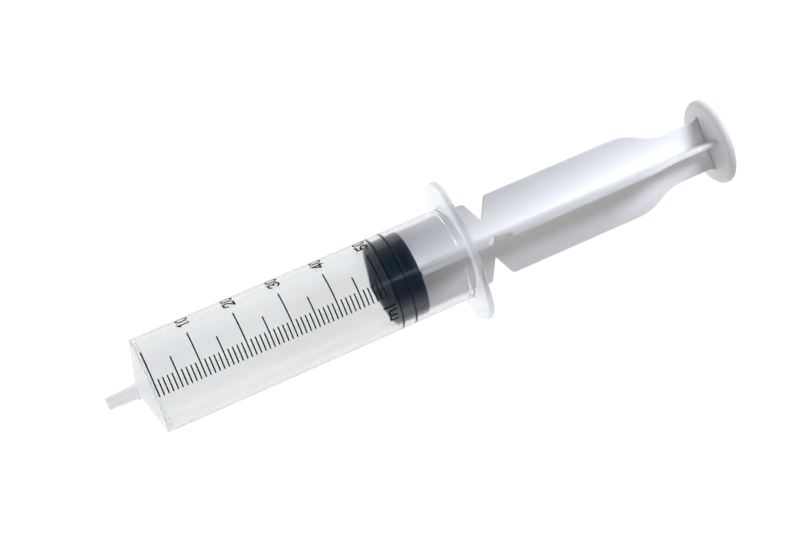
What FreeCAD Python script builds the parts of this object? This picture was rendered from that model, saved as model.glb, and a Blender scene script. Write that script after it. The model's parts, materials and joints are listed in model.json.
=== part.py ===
"""A 50 ml three-part syringe, drawn to 50 ml and lying on its side.

The frame: X runs along the axis from the nozzle's mouth, where the origin is, to the thumb disc.
Z is up and the finger flange's wings lie along Y. Sizes are millimetres and degrees.
"""
import FreeCAD, Part
import math
import os
import re
import Sketcher

doc = FreeCAD.newDocument("syringe")
sizes = doc.addObject("Spreadsheet::Sheet", "Sizes")

# Driving sizes
SIZES = (
    ("nozzle_mouth_radius", 1.98, "outer radius of the slip nozzle at its mouth"),
    ("nozzle_taper", 0.06, "luer taper: growth in diameter over length"),
    ("nozzle_length", 9.25, "mouth to boss"),
    ("nozzle_bore_radius", 1.1, "fluid way through the nozzle"),
    ("nozzle_mouth_chamfer", 0.25, "bevel on the outside of the mouth"),
    ("boss_radius", 2.75, "short boss that the nozzle stands on"),
    ("boss_length", 1.12, "length of the boss"),
    ("end_cone_angle", 15.0, "slope of the barrel's front end and of the stopper's face"),
    ("barrel_radius", 15.75, "outside radius of the barrel"),
    ("barrel_wall", 1.3, "wall of the barrel"),
    ("front_wall", 1.3, "front rim of the barrel to the end of its bore"),
    ("front_rim_bevel", 0.25, "bevel on the barrel's front rim"),
    ("bore_length", 108.5, "end of the bore to the back of the flange"),
    ("bore_lead_in", 0.6, "bevel where the bore opens at the back"),
    ("stop_ring_setback", 4.1, "back of the flange to the crest of the stop ring"),
    ("stop_ring_half_width", 1.0, "half the width of the ring that holds the plunger in"),
    ("stop_ring_crest", 0.4, "half the width of that ring's crest"),
    ("stop_ring_rise", 0.35, "height of that ring off the bore"),
    ("flange_thickness", 2.2, "thickness of the finger flange"),
    ("flange_wing", 8.45, "how far a wing's tip stands off the barrel"),
    ("flange_brim", 2.75, "how far the middle of the long side stands off the barrel"),
    ("flange_side_drop", 4.0, "axis to the centre of the long side's curve, on its far side"),
    ("flange_flank_angle", 24.2, "slope of the straight flank of a wing"),
    ("flange_corner_round", 6.0, "round between a flank and a wing's tip"),
    ("flange_edge_bevel", 0.55, "bevel on both edges of the flange"),
    ("flange_root_bevel", 0.9, "bevel between the flange and the barrel"),
    ("stopper_rear", 89.8, "end of the bore to the stopper's back, drawn to 50 ml"),
    ("rear_rib_setback", 5.35, "back of the stopper to the middle of its second sealing rib"),
    ("rib_pitch", 4.6, "distance between the two sealing ribs"),
    ("rib_half_width", 0.75, "half the width of a sealing rib at its foot"),
    ("rib_crest", 0.3, "half the width of a sealing rib's crest"),
    ("seal_clearance", 0.05, "crest of a sealing rib to the bore"),
    ("seal_rise", 0.65, "height of a sealing rib"),
    ("guide_band_length", 2.8, "band round the back of the stopper"),
    ("guide_band_clearance", 0.3, "that band to the bore"),
    ("lip_opening_radius", 5.8, "opening in the back of the stopper"),
    ("lip_thickness", 3.0, "rubber lip that holds the rod's head"),
    ("socket_radius", 8.3, "socket in the stopper for the rod's head"),
    ("socket_depth", 10.0, "back of the stopper to the end of the socket"),
    ("socket_taper_length", 1.8, "bevelled end of the socket"),
    ("socket_end_radius", 5.0, "flat end of the socket"),
    ("head_play", 0.25, "play of the rod's head in the socket"),
    ("shoulder_gap", 0.1, "front of the rod's ribs to the back of the stopper"),
    ("rod_rib_clearance", 0.65, "edge of a rib to the bore"),
    ("rod_rib_thickness", 1.6, "thickness of a rib"),
    ("rod_turn", 7.5, "how far the rod is turned in the barrel"),
    ("rod_length", 111.5, "front of the ribs to the thumb disc"),
    ("notch_place", 28.2, "front of the ribs to the bottom of the notch"),
    ("notch_half_width", 3.9, "half the width of the notch at the rib's edge"),
    ("notch_depth", 7.4, "depth of the notch in a rib"),
    ("notch_corner_round", 1.5, "rounds beside the notch"),
    ("waist_start", 79.8, "front of the ribs to the start of the waist"),
    ("waist_run", 19.0, "length of the curve into the neck"),
    ("waist_drop", 5.15, "how far a rib's edge comes in at the neck"),
    ("flare_length", 3.0, "flare of the ribs at the thumb disc"),
    ("flare_radius", 5.0, "curve of that flare"),
    ("thumb_overhang", 0.55, "edge of the thumb disc beyond the bore"),
    ("thumb_thickness", 2.6, "thickness of the thumb disc"),
    ("thumb_edge_bevel", 0.7, "bevel on the thumb disc's edges"),
    ("grip_ring_depth", 0.4, "depth of the grip rings in the thumb disc's back"),
    ("grip_ring_half_width", 0.7, "half the width of a grip ring"),
    ("grip_ring_pitch", 3.2, "distance between grip rings"),
)
GRIP_RINGS = 3
RIBS = 4

for row, (alias, value, note) in enumerate(SIZES, start=1):
    sizes.set("A%d" % row, alias)
    sizes.set("B%d" % row, str(value))
    sizes.set("C%d" % row, note)
    sizes.setAlias("B%d" % row, alias)

# Places and sizes that several pieces share, worked out from the driving sizes
DERIVED = (
    ("bore_radius", "barrel_radius - barrel_wall"),
    ("cone_slope", "tan(end_cone_angle * 1deg)"),
    ("nozzle_root_radius", "nozzle_mouth_radius + nozzle_length * nozzle_taper / 2"),
    ("boss_back", "nozzle_length + boss_length"),
    ("rim_place", "boss_back + (barrel_radius - front_rim_bevel - boss_radius) * cone_slope"),
    ("bore_end", "rim_place + front_wall"),
    ("barrel_back", "bore_end + bore_length"),
    ("flange_front", "barrel_back - flange_thickness"),
    ("flange_reach", "barrel_radius + flange_wing"),
    ("flange_half_width", "barrel_radius + flange_brim"),
    ("flange_side_radius", "flange_half_width + flange_side_drop"),
    ("flank_sine", "sin(flange_flank_angle * 1deg)"),
    ("flank_cosine", "cos(flange_flank_angle * 1deg)"),
    ("flank_across", "flange_side_radius * flank_sine"),
    ("flank_up", "flange_half_width - flange_side_radius * (1 - flank_cosine)"),
    ("flank_distance", "flank_across * flank_sine + flank_up * flank_cosine"),
    ("flank_run", "sqrt(flange_reach ^ 2 - flank_distance ^ 2)"),
    ("tip_across", "flank_distance * flank_sine + flank_run * flank_cosine"),
    ("tip_up", "flank_distance * flank_cosine - flank_run * flank_sine"),
    ("stop_ring_place", "barrel_back - stop_ring_setback"),
    ("stop_ring_radius", "bore_radius - stop_ring_rise"),
    ("stopper_back", "bore_end + stopper_rear"),
    ("seal_radius", "bore_radius - seal_clearance"),
    ("stopper_body_radius", "seal_radius - seal_rise"),
    ("guide_band_radius", "bore_radius - guide_band_clearance"),
    ("rear_rib_place", "stopper_back - rear_rib_setback"),
    ("front_rib_place", "rear_rib_place - rib_pitch"),
    ("stopper_tip", "front_rib_place - rib_half_width - stopper_body_radius * cone_slope"),
    ("rod_front", "stopper_back + shoulder_gap"),
    ("thumb_front", "rod_front + rod_length"),
    ("thumb_back", "thumb_front + thumb_thickness"),
    ("thumb_radius", "bore_radius + thumb_overhang"),
    ("notch_middle", "rod_front + notch_place"),
    ("waist_place", "rod_front + waist_start"),
    ("rod_rib_radius", "bore_radius - rod_rib_clearance"),
    ("notch_root_radius", "rod_rib_radius - notch_depth"),
    ("neck_radius", "rod_rib_radius - waist_drop"),
    ("waist_curve", "(waist_run ^ 2 + waist_drop ^ 2) / (4 * waist_drop)"),
    ("flare_rise", "flare_radius - sqrt(flare_radius ^ 2 - flare_length ^ 2)"),
)
for row, (alias, formula) in enumerate(DERIVED, start=len(SIZES) + 1):
    sizes.set("A%d" % row, alias)
    sizes.set("B%d" % row, "=" + formula)
    sizes.setAlias("B%d" % row, alias)
doc.recompute()


NAMES = re.compile(r"\b(%s)\b" % "|".join([row[0] for row in SIZES] + [row[0] for row in DERIVED]))


def in_sheet(formula):
    """The same formula with each name written the way another object has to name a cell."""
    return NAMES.sub(r"Sizes.\1", formula)


def bind(feature, prop, formula):
    """Ties one property of a feature to a formula in the sheet's names."""
    feature.setExpression(prop, in_sheet(formula))


def value_of(formula):
    """What a formula in the sheet's names comes to."""
    return float(sizes.evalExpression(formula))


def new_body(label):
    body = doc.addObject("PartDesign::Body", label)
    body.Label = label
    return body


def origin_part(body, role):
    """A plane or an axis of the body's own origin."""
    return next(part for part in body.Origin.OriginFeatures if part.Role == role)


def new_sketch(body, name, role):
    sketch = body.newObject("Sketcher::SketchObject", name)
    sketch.AttachmentSupport = [(origin_part(body, role), "")]
    sketch.MapMode = "FlatFace"
    return sketch


def limit(sketch, kind, formula, *places):
    """A constraint whose size is a formula."""
    index = sketch.addConstraint(Sketcher.Constraint(kind, *places, value_of(formula)))
    bind(sketch, "Constraints[%d]" % index, formula)


def pin(sketch, curve, end, across, up):
    """Fixes one end of a curve at two formulas, or on a sketch axis where a formula is 0."""
    for kind, formula, axis in (("DistanceX", across, -2), ("DistanceY", up, -1)):
        if formula == "0":
            sketch.addConstraint(Sketcher.Constraint("PointOnObject", curve, end, axis))
        else:
            limit(sketch, kind, formula, curve, end)


def bulge_point(start, finish, radius, side):
    """The middle of the arc between two points, on the left of the way there for side 1."""
    way = finish - start
    rise = radius - math.sqrt(radius ** 2 - way.Length ** 2 / 4)
    left = FreeCAD.Vector(-way.y, way.x, 0).normalize()
    return (start + finish) * 0.5 + left * rise * side


def outline(sketch, corners):
    """A closed outline through (across, up) or (across, up, radius, side) corners.

    The last two bend the stretch to the next corner: side is 1 where it bulges to the left
    of its direction of travel and -1 where it bulges to the right.
    """
    spots = [FreeCAD.Vector(value_of(corner[0]), value_of(corner[1]), 0) for corner in corners]
    ends = []
    for corner, start, finish in zip(corners, spots, spots[1:] + spots[:1]):
        if len(corner) == 2:
            curve = sketch.addGeometry(Part.LineSegment(start, finish), False)
            ends.append((curve, 1, 2))
            continue
        middle = bulge_point(start, finish, value_of(corner[2]), corner[3])
        curve = sketch.addGeometry(Part.Arc(start, middle, finish), False)
        limit(sketch, "Radius", corner[2], curve)
        forward = sketch.getPoint(curve, 1).isEqual(start, 1e-6)
        ends.append((curve, 1, 2) if forward else (curve, 2, 1))
    for place, (curve, begin, _) in enumerate(ends):
        before, _, before_end = ends[place - 1]
        sketch.addConstraint(Sketcher.Constraint("Coincident", before, before_end, curve, begin))
        pin(sketch, curve, begin, *corners[place][:2])


def turned(body, kind, name, corners):
    """A section drawn beside the X axis and turned about it, as material or as a cut."""
    sketch = new_sketch(body, name + "_section", "XY_Plane")
    outline(sketch, corners)
    feature = body.newObject("PartDesign::" + kind, name)
    feature.Profile = sketch
    feature.ReferenceAxis = (sketch, ["H_Axis"])
    feature.Angle = 360
    doc.recompute()


def dress_edges(body, kind, name, formula, wanted):
    """A Fillet or a Chamfer on those edges of the newest feature that pass a test."""
    base = body.Tip
    picked = ["Edge%d" % (i + 1) for i, edge in enumerate(base.Shape.Edges) if wanted(edge)]
    if not picked:
        raise ValueError("no edge for " + name)
    feature = body.newObject("PartDesign::" + kind, name)
    feature.Base = (base, picked)
    bind(feature, "Radius" if kind == "Fillet" else "Size", formula)
    doc.recompute()


def lies_at(edge, place):
    """Whether an edge lies in the plane across the axis at a place."""
    box = edge.BoundBox
    return abs(box.XMin - place) < 1e-4 and abs(box.XMax - place) < 1e-4


def reach(edge):
    """The distance from the axis to the furthest end of an edge."""
    return max(math.hypot(corner.Y, corner.Z) for corner in edge.Vertexes)


def make_barrel():
    """Barrel, nozzle and finger flange, moulded as one piece."""
    body = new_body("barrel")
    turned(body, "Revolution", "barrel_outside", [
        ("0", "0"),
        ("0", "nozzle_mouth_radius - nozzle_mouth_chamfer"),
        ("nozzle_mouth_chamfer", "nozzle_mouth_radius + nozzle_mouth_chamfer * nozzle_taper / 2"),
        ("nozzle_length", "nozzle_root_radius"),
        ("nozzle_length", "boss_radius"),
        ("boss_back", "boss_radius"),
        ("rim_place", "barrel_radius - front_rim_bevel"),
        ("rim_place + front_rim_bevel", "barrel_radius"),
        ("flange_front - flange_root_bevel", "barrel_radius"),
        ("flange_front", "barrel_radius + flange_root_bevel"),
        ("barrel_back", "barrel_radius + flange_root_bevel"),
        ("barrel_back", "0"),
    ])
    make_flange(body)
    turned(body, "Groove", "bore", [
        ("0", "0"),
        ("0", "nozzle_bore_radius"),
        ("bore_end - (bore_radius - nozzle_bore_radius) * cone_slope", "nozzle_bore_radius"),
        ("bore_end", "bore_radius"),
        ("stop_ring_place - stop_ring_half_width", "bore_radius"),
        ("stop_ring_place - stop_ring_crest", "stop_ring_radius"),
        ("stop_ring_place + stop_ring_crest", "stop_ring_radius"),
        ("stop_ring_place + stop_ring_half_width", "bore_radius"),
        ("barrel_back - bore_lead_in", "bore_radius"),
        ("barrel_back", "bore_radius + bore_lead_in"),
        ("barrel_back", "0"),
    ])
    return body


def make_flange(body):
    """The finger flange: two wings with curved sides, straight flanks and rounded tips."""
    sketch = new_sketch(body, "flange_outline", "YZ_Plane")
    bind(sketch, "AttachmentOffset.Base.z", "flange_front")
    outline(sketch, [
        ("-flank_across", "flank_up", "flange_side_radius", 1),
        ("flank_across", "flank_up"),
        ("tip_across", "tip_up", "flange_reach", 1),
        ("tip_across", "-tip_up"),
        ("flank_across", "-flank_up", "flange_side_radius", 1),
        ("-flank_across", "-flank_up"),
        ("-tip_across", "-tip_up", "flange_reach", 1),
        ("-tip_across", "tip_up"),
    ])
    pad = body.newObject("PartDesign::Pad", "flange")
    pad.Profile = sketch
    bind(pad, "Length", "flange_thickness")
    doc.recompute()
    tip = value_of("flange_reach")
    dress_edges(body, "Fillet", "flange_corners", "flange_corner_round",
                lambda edge: edge.BoundBox.XLength > 0.1 and edge.BoundBox.YLength < 1e-4
                and edge.BoundBox.ZLength < 1e-4 and abs(reach(edge) - tip) < 0.01)
    inside = value_of("barrel_radius") + 0.1
    faces = (value_of("flange_front"), value_of("barrel_back"))
    dress_edges(body, "Chamfer", "flange_edges", "flange_edge_bevel",
                lambda edge: reach(edge) > inside and any(lies_at(edge, place) for place in faces))


def make_stopper():
    """The rubber stopper: coned face, two sealing ribs, a guide band and the rod's socket."""
    body = new_body("stopper")
    turned(body, "Revolution", "rubber", [
        ("stopper_tip", "0"),
        *sealing_rib("front_rib_place"),
        *sealing_rib("rear_rib_place"),
        ("stopper_back - guide_band_length", "stopper_body_radius"),
        ("stopper_back - guide_band_length + guide_band_radius - stopper_body_radius", "guide_band_radius"),
        ("stopper_back", "guide_band_radius"),
        ("stopper_back", "0"),
    ])
    turned(body, "Groove", "socket", [
        ("stopper_back", "0"),
        ("stopper_back", "lip_opening_radius"),
        ("stopper_back - lip_thickness", "lip_opening_radius"),
        ("stopper_back - lip_thickness", "socket_radius"),
        ("stopper_back - socket_depth + socket_taper_length", "socket_radius"),
        ("stopper_back - socket_depth", "socket_end_radius"),
        ("stopper_back - socket_depth", "0"),
    ])
    return body


def sealing_rib(place):
    """The corners of one rib that stands off the stopper's body."""
    return (
        (place + " - rib_half_width", "stopper_body_radius"),
        (place + " - rib_crest", "seal_radius"),
        (place + " + rib_crest", "seal_radius"),
        (place + " + rib_half_width", "stopper_body_radius"),
    )


def make_rod():
    """The plunger rod: four notched ribs with a waist, the thumb disc and the snap-in head."""
    body = new_body("plunger_rod")
    sketch = new_sketch(body, "rib_outline", "XZ_Plane")
    outline(sketch, [
        ("rod_front", "0"),
        ("rod_front", "rod_rib_radius"),
        ("notch_middle - notch_half_width", "rod_rib_radius"),
        ("notch_middle", "notch_root_radius"),
        ("notch_middle + notch_half_width", "rod_rib_radius"),
        ("waist_place", "rod_rib_radius", "waist_curve", 1),
        ("waist_place + waist_run / 2", "rod_rib_radius - waist_drop / 2", "waist_curve", -1),
        ("waist_place + waist_run", "neck_radius"),
        ("thumb_front - flare_length", "neck_radius", "flare_radius", -1),
        ("thumb_front", "neck_radius + flare_rise"),
        ("thumb_front", "0"),
    ])
    pad = body.newObject("PartDesign::Pad", "rib")
    pad.Profile = sketch
    pad.Midplane = True
    bind(pad, "Length", "rod_rib_thickness")
    doc.recompute()
    ribs = body.newObject("PartDesign::PolarPattern", "ribs")
    ribs.Originals = [pad]
    ribs.Axis = (origin_part(body, "X_Axis"), [""])
    ribs.Angle = 360
    ribs.Occurrences = RIBS
    body.Tip = ribs
    doc.recompute()
    round_notches(body)
    turned(body, "Revolution", "thumb_disc", [
        ("thumb_front", "0"),
        ("thumb_front", "thumb_radius - thumb_edge_bevel"),
        ("thumb_front + thumb_edge_bevel", "thumb_radius"),
        ("thumb_back - thumb_edge_bevel", "thumb_radius"),
        ("thumb_back", "thumb_radius - thumb_edge_bevel"),
        ("thumb_back", "0"),
    ])
    for number in range(1, GRIP_RINGS + 1):
        cut_grip_ring(body, number)
    turned(body, "Revolution", "head", [
        ("rod_front", "0"),
        ("rod_front", "lip_opening_radius - head_play"),
        ("stopper_back - lip_thickness - head_play", "lip_opening_radius - head_play"),
        ("stopper_back - lip_thickness - head_play", "socket_radius - head_play"),
        ("stopper_back - socket_depth + socket_taper_length", "socket_radius - head_play"),
        ("stopper_back - socket_depth + head_play", "socket_end_radius - head_play"),
        ("stopper_back - socket_depth + head_play", "0"),
    ])
    body.Placement = FreeCAD.Placement(FreeCAD.Vector(), FreeCAD.Vector(1, 0, 0), value_of("rod_turn"))
    bind(body, "Placement.Rotation.Angle", "rod_turn * 1deg")
    return body


def round_notches(body):
    """Rounds the outer corners beside the notch in every rib."""
    edge_radius = value_of("rod_rib_radius")
    sides = (value_of("notch_middle - notch_half_width"), value_of("notch_middle + notch_half_width"))
    dress_edges(body, "Fillet", "notch_corners", "notch_corner_round",
                lambda edge: reach(edge) > edge_radius - 0.01
                and any(lies_at(edge, place) for place in sides))


def cut_grip_ring(body, number):
    """One of the shallow rings in the back of the thumb disc."""
    middle = "%d * grip_ring_pitch" % number
    turned(body, "Groove", "grip_ring_%d" % number, [
        ("thumb_back", middle + " - grip_ring_half_width"),
        ("thumb_back - grip_ring_depth", middle),
        ("thumb_back", middle + " + grip_ring_half_width"),
    ])


def check(bodies):
    """Stops if a feature failed or a piece isn't a sound single solid."""
    failed = [thing.Label for thing in doc.Objects if {"Invalid", "Error"} & set(thing.State)]
    if failed:
        raise RuntimeError("failed: " + ", ".join(failed))
    for body in bodies:
        if body.Shape.isNull() or not body.Shape.isValid() or len(body.Shape.Solids) != 1:
            raise RuntimeError(body.Label + " isn't one sound solid")


pieces = [make_barrel(), make_stopper(), make_rod()]
doc.recompute()
check(pieces)
os.makedirs("parts", exist_ok=True)
for piece in pieces:
    piece.Shape.exportStep("parts/%s.step" % piece.Label)
    box = piece.Shape.BoundBox
    print("%s %.1f mm3, X %.2f to %.2f, Y %.2f, Z %.2f" % (
        piece.Label, piece.Shape.Volume, box.XMin, box.XMax, box.YLength, box.ZLength))
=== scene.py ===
"""A 50 ml slip-tip syringe, drawn to 50 ml, on a pale table and seen from above.

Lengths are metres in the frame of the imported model: X runs along the axis from the nozzle's
mouth to the thumb disc, Z is up, and the flange's wings lie along Y.
"""
import json
import math
import bmesh
import bpy
from bpy.props import FloatProperty, FloatVectorProperty, IntProperty, PointerProperty
from mathutils import Matrix, Vector
from mathutils.geometry import delaunay_2d_cdt


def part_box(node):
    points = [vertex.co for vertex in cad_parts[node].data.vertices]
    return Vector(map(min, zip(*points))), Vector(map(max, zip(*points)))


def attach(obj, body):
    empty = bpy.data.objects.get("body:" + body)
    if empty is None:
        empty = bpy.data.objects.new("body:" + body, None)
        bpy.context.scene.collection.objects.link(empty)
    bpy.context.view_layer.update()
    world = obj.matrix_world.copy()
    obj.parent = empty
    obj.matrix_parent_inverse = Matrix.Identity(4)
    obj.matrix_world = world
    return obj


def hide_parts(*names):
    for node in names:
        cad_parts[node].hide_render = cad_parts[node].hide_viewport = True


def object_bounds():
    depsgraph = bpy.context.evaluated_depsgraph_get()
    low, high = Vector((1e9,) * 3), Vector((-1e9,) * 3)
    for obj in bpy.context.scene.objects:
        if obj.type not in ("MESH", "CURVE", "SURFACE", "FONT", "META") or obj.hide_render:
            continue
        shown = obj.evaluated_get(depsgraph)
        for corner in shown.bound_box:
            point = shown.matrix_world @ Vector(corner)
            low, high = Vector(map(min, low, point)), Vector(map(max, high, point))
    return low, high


bl_info = {
    "name": "Syringe",
    "version": (1, 0, 0),
    "blender": (4, 5, 0),
    "location": "3D View > Sidebar > Syringe",
    "description": "Builds a 50 ml three-part syringe over its packed model",
    "category": "Add Mesh",
}

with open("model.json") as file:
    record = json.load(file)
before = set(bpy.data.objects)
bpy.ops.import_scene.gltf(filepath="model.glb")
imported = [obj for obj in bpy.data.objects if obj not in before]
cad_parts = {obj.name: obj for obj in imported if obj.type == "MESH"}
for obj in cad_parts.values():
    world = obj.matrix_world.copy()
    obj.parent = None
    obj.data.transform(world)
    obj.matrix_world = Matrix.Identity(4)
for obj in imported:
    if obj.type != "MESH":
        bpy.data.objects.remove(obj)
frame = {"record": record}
CAD_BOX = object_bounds()

MOUNTS = {mount["name"]: mount for mount in frame["record"]["mounts"]}
BARREL_RADIUS = MOUNTS["barrel_outside"]["dims"]["r_mm"] / 1000
FLUID_WAY_RADIUS = MOUNTS["fluid_way"]["dims"]["r_mm"] / 1000
FLANGE_FRONT = MOUNTS["flange_front_face"]["pos_m"][0]
FLANGE_BACK = MOUNTS["flange_back_face"]["pos_m"][0]
FLANGE_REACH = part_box("barrel")[1].y
STOPPER_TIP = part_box("stopper")[0].x
STOPPER_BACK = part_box("stopper")[1].x
SEAL_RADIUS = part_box("stopper")[1].z
HEAD_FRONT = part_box("plunger_rod")[0].x
THUMB_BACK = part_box("plunger_rod")[1].x
THUMB_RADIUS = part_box("plunger_rod")[1].z
ML = 1e-6

BARREL_STEPS, STOPPER_STEPS, DISC_STEPS, HEAD_STEPS = 384, 192, 160, 96
SHARP_ANGLE = math.radians(50)
ARC_STEP = math.radians(2)

# Fine rounds and margins of the barrel
MOUTH_BORE_ROUND = 0.0001
MOUTH_ROUND = 0.00025
NOZZLE_ROOT_ROUND = 0.0003
BOSS_ROUND = 0.0002
BOSS_ROOT_ROUND = 0.0004
FLUID_WAY_ROUND = 0.0004
BORE_END_ROUND = 0.0006
LEAD_IN = 0.0006
LEAD_IN_ROUND = 0.0002
LEAD_IN_FOOT_ROUND = 0.0004
FLANGE_RIM = 0.0016
FLANGE_MARGIN = 0.0001
NOSE_MARGIN = 0.0002
CLOUDY_DEPTH = 0.00012

# Fine rounds of the stopper and the rod
BAND_ROUND = 0.0003
LIP_ROUND = 0.0004
LIP_INNER_ROUND = 0.0002
SOCKET_MOUTH_ROUND = 0.0003
SOCKET_END_ROUND = 0.002
NOTCH_BOTTOM_ROUND = 0.0004
HEAD_ROUND = 0.002
NECK_ROUND = 0.0003
NECK_OVERLAP = 0.0005
DISC_FACE_SHARE = 0.8

# Painted shade on the white plastic: the ribs are painted darker between two distances from the axis, towards
# their outer edges, and the thumb disc's end is painted darker all over
PAINTED_SHADE_FROM, PAINTED_SHADE_TO = 0.002, 0.013
PAINTED_SHADE_LOSS = 0.27
DISC_PAINTED_SHADE = 0.78
DISC_SHADE_ZONE = 0.003

# The stage. A lamp is its place, the point it faces, its width and its height.
CAMERA_PLACE = (-0.000785, 0.003072, 0.4825)
KEY_LAMP = ((0.34, 0.09, 0.20), (0.17, 0, 0), 0.06, 0.15)
STRIP_LAMP = ((0.1, 0, 0.95), (0.1, 0, 0), 1.4, 0.14)
FLOOR_HALF, FLOOR_CENTRE, FLOOR_GAP = 3, 0.1, 0.0001
TABLE_DIM = (0.03, 0.10)
# How steeply a direction points up, and its share of the way from the ceiling's level to the wall's
ROOM_STOPS = ((0.07, 1.0), (0.28, 0.6), (0.47, 0.35), (0.68, 0.0))
SIDE_BLEND = 0.35
FRONT_BLEND = (-0.25, -0.8)


def length(name, description, default):
    """A property that holds a length in metres."""
    return FloatProperty(name=name, description=description, default=default, precision=5, unit="LENGTH")


def angle(name, description, default):
    """A property that holds an angle, given here in degrees."""
    return FloatProperty(name=name, description=description, default=math.radians(default), unit="ROTATION")


def share(name, description, default):
    """A property between 0 and 1."""
    return FloatProperty(name=name, description=description, default=default, min=0, max=1, subtype="FACTOR")


def colour(name, description, default):
    """A colour property, in linear light."""
    return FloatVectorProperty(name=name, description=description, default=default, size=3, min=0, max=1,
                               subtype="COLOR")


class BarrelSizes(bpy.types.PropertyGroup):
    wall: length("Wall", "Wall of the barrel", 0.0013)
    front_wall: length("Front wall", "Rim of the barrel to the end of its bore", 0.0013)
    end_slope: angle("End slope", "Slope of the barrel's front end", 15)
    nozzle_mouth: length("Nozzle mouth", "Outside radius of the nozzle at its mouth", 0.00198)
    nozzle_length: length("Nozzle length", "Mouth to boss", 0.00925)
    luer_taper: FloatProperty(name="Luer taper", description="Growth in diameter over length", default=0.06)
    boss_radius: length("Boss radius", "Short boss that the nozzle stands on", 0.00275)
    boss_length: length("Boss length", "Length of that boss", 0.00112)
    rim_round: length("Rim round", "Round on the front rim", 0.0004)
    root_round: length("Flange root round", "Round between the flange and the barrel", 0.0009)
    edge_round: length("Flange edge round", "Round on both edges of the flange", 0.0009)
    side_reach: length("Flange side", "Axis to the middle of the flange's long side", 0.0185)
    side_radius: length("Flange side radius", "Curve of the flange's long side", 0.0225)
    flank_slope: angle("Flank slope", "Slope of the straight flank of a wing", 24.2)
    corner_blend: length("Corner blend", "How softly a flank runs into a wing's tip", 0.0014)
    stop_setback: length("Stop ring setback", "Back of the flange to the crest of the stop ring", 0.0041)
    stop_rise: length("Stop ring rise", "Height of the stop ring off the bore", 0.00035)
    stop_width: length("Stop ring width", "Half the width of the stop ring", 0.001)
    seal_squeeze: length("Seal squeeze", "How far the sealing ribs press into the wall", 0.00011)


class ScaleSizes(bpy.types.PropertyGroup):
    capacity: IntProperty(name="Capacity", description="Last mark of the scale, in ml", default=50)
    line_width: length("Line width", "Width of a mark", 0.00047)
    line_foot: angle("Line foot", "Where every mark begins, from the top of the barrel", 16)
    short_end: angle("Short mark", "Where a 1 ml mark ends", -4)
    middle_end: angle("Middle mark", "Where a 5 ml mark ends", -22.3)
    long_end: angle("Long mark", "Where a 10 ml mark ends", -42)
    digit_height: length("Digit height", "Height of the numbers, between pen lines", 0.0035)
    digit_width: share("Digit width", "Width of a number against its height", 0.62)
    digit_gap: share("Digit gap", "Gap between two numbers against their height", 0.46)
    digit_drop: length("Digit drop", "Mark to the foot of its number", 0.00198)
    pen_width: length("Pen width", "Width of the strokes of the numbers", 0.00066)
    digit_start: angle("Number start", "Where a number begins", -54.3)
    unit_start: angle("Unit start", "Where the unit begins", 46.5)
    unit_drop: length("Unit drop", "Mark to the foot of the unit", 0.00168)
    ink_lift: length("Ink lift", "Height of the ink off the barrel", 0.00002)


class StopperSizes(bpy.types.PropertyGroup):
    rib_rise: length("Rib rise", "Height of a sealing rib", 0.00036)
    rib_half: length("Rib half width", "Half the width of a sealing rib", 0.0006)
    rear_rib: length("Rear rib setback", "Back of the stopper to its second rib", 0.00535)
    rib_pitch: length("Rib pitch", "Distance between the two ribs", 0.0046)
    face_slope: angle("Face slope", "Slope of the coned face", 15)
    face_round: length("Face round", "Round at the tip of the cone", 0.006)
    band_length: length("Guide band", "Length of the band round the back", 0.0028)
    band_inset: length("Guide band inset", "How far the band stays inside the ribs", 0.0002)
    back_round: length("Back round", "Round on the edge of the stopper's back", 0.0014)
    socket_radius: length("Socket radius", "Socket for the rod's head", 0.0083)
    socket_depth: length("Socket depth", "Back of the stopper to the end of the socket", 0.01)
    lip_radius: length("Lip opening", "Opening in the back of the stopper", 0.0058)
    lip_thickness: length("Lip thickness", "Rubber lip that holds the rod's head", 0.003)


class RodSizes(bpy.types.PropertyGroup):
    turn: angle("Turn", "How far the rod is turned in the barrel", 7.5)
    shoulder_gap: length("Shoulder gap", "Back of the stopper to the ribs", 0.0001)
    bore_clearance: length("Bore clearance", "Edge of a rib to the sealing radius", 0.0006)
    rib_thickness: length("Rib thickness", "Thickness of a rib", 0.0016)
    edge_round: length("Edge round", "Round on a rib's edges", 0.00025)
    root_round: length("Root round", "Fillet between two ribs", 0.0004)
    notch_place: length("Notch place", "Front of the ribs to the bottom of the notch", 0.0282)
    notch_half: length("Notch half width", "Half the width of the notch", 0.0039)
    notch_depth: length("Notch depth", "Depth of the notch", 0.0074)
    notch_round: length("Notch round", "Rounds beside the notch", 0.0015)
    waist_start: length("Waist start", "Front of the ribs to the start of the waist", 0.0798)
    waist_run: length("Waist run", "Length of the curve into the neck", 0.019)
    waist_drop: length("Waist drop", "How far the edge comes in", 0.00515)
    flare_length: length("Flare length", "Flare of the ribs at the thumb disc", 0.003)
    flare_radius: length("Flare radius", "Curve of that flare", 0.005)
    thumb_thickness: length("Thumb disc", "Thickness of the thumb disc", 0.0026)
    thumb_round: length("Thumb round", "Round on the disc's front edge", 0.0021)
    thumb_back_round: length("Thumb back round", "Round on the disc's back edge", 0.0004)
    ring_pitch: length("Grip ring pitch", "Distance between the grip rings", 0.0032)
    ring_depth: length("Grip ring depth", "Depth of the grip rings", 0.0004)
    ring_half: length("Grip ring half width", "Half the width of a grip ring", 0.0007)
    ring_count: IntProperty(name="Grip rings", description="Grip rings in the disc's back", default=3)
    head_play: length("Head play", "Play of the rod's head in its socket", 0.00025)


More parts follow.
